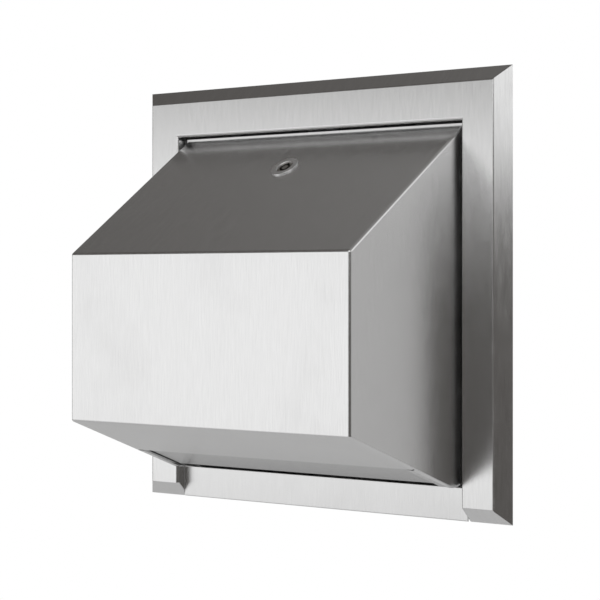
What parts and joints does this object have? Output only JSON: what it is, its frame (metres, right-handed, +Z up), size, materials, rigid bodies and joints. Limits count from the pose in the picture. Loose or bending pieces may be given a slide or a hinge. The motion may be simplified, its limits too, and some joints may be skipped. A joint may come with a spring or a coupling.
{
  "type": "multifold towel dispenser",
  "caption": "Semi-recessed paper towel dispenser with a shallow wall box, bevelled trim frame, bottom-pivoted sloping hood, cam lock and inner towel magazine.",
  "frame": {"origin": "centre of the four anchor holes on the rear face of the wall box's back panel", "axes": "+Z up, -Y out of the wall towards the room, +X to the right of somebody facing the dispenser; the finished wall is the plane y = -0.050"},
  "size_m": [0.375, 0.1852, 0.335],
  "materials": {
    "stainless_front": "brushed stainless steel, vertical grain",
    "stainless_box": "plain mill-finish stainless sheet",
    "zinc_steel": "zinc-plated steel",
    "chrome_lock": "polished chrome-plated zinc",
    "black_plastic": "black acetal, matt",
    "black_rubber": "black rubber, matt"
  },
  "bodies": {
    "cabinet": {"trim_frame": "stainless_front", "apron_plate": "stainless_front", "wall_box": "stainless_box", "towel_magazine": "stainless_box", "hinge_bracket_left": "zinc_steel", "hinge_bracket_right": "zinc_steel", "hinge_bush_left": "black_plastic", "hinge_bush_right": "black_plastic", "open_stop_pads": "black_rubber", "closed_stop_pads": "black_rubber", "bracket_screws": "zinc_steel", "bracket_nuts": "zinc_steel", "cheek_spacers": "black_plastic", "cheek_screws": "zinc_steel", "cheek_nuts": "zinc_steel", "magazine_screws": "zinc_steel", "magazine_nuts": "zinc_steel", "keeper_bracket": "zinc_steel", "keeper_screws": "zinc_steel", "keeper_nuts": "zinc_steel"},
    "hood": {"hood_shell": "stainless_front", "pivot_stud_left": "zinc_steel", "pivot_stud_right": "zinc_steel", "stop_stud_left": "zinc_steel", "stop_stud_right": "zinc_steel", "pivot_clips": "zinc_steel", "lock_doubler": "zinc_steel", "lock_body": "chrome_lock", "lock_washer": "zinc_steel", "lock_nut": "zinc_steel"},
    "lock_core": {"lock_plug": "chrome_lock", "lock_cam": "zinc_steel", "cam_nut": "zinc_steel"}
  },
  "joints": [
    {"name": "hood_pivot", "type": "hinge", "parent": "cabinet", "child": "hood", "pos_m": [0, -0.063, -0.1223], "axis": [1, 0, 0], "range_deg": [0, 78]},
    {"name": "lock_turn", "type": "hinge", "parent": "hood", "child": "lock_core", "pos_m": [0, -0.09002, 0.09767], "axis": [0, -0.5878, 0.809], "range_deg": [0, 90]}
  ]
}
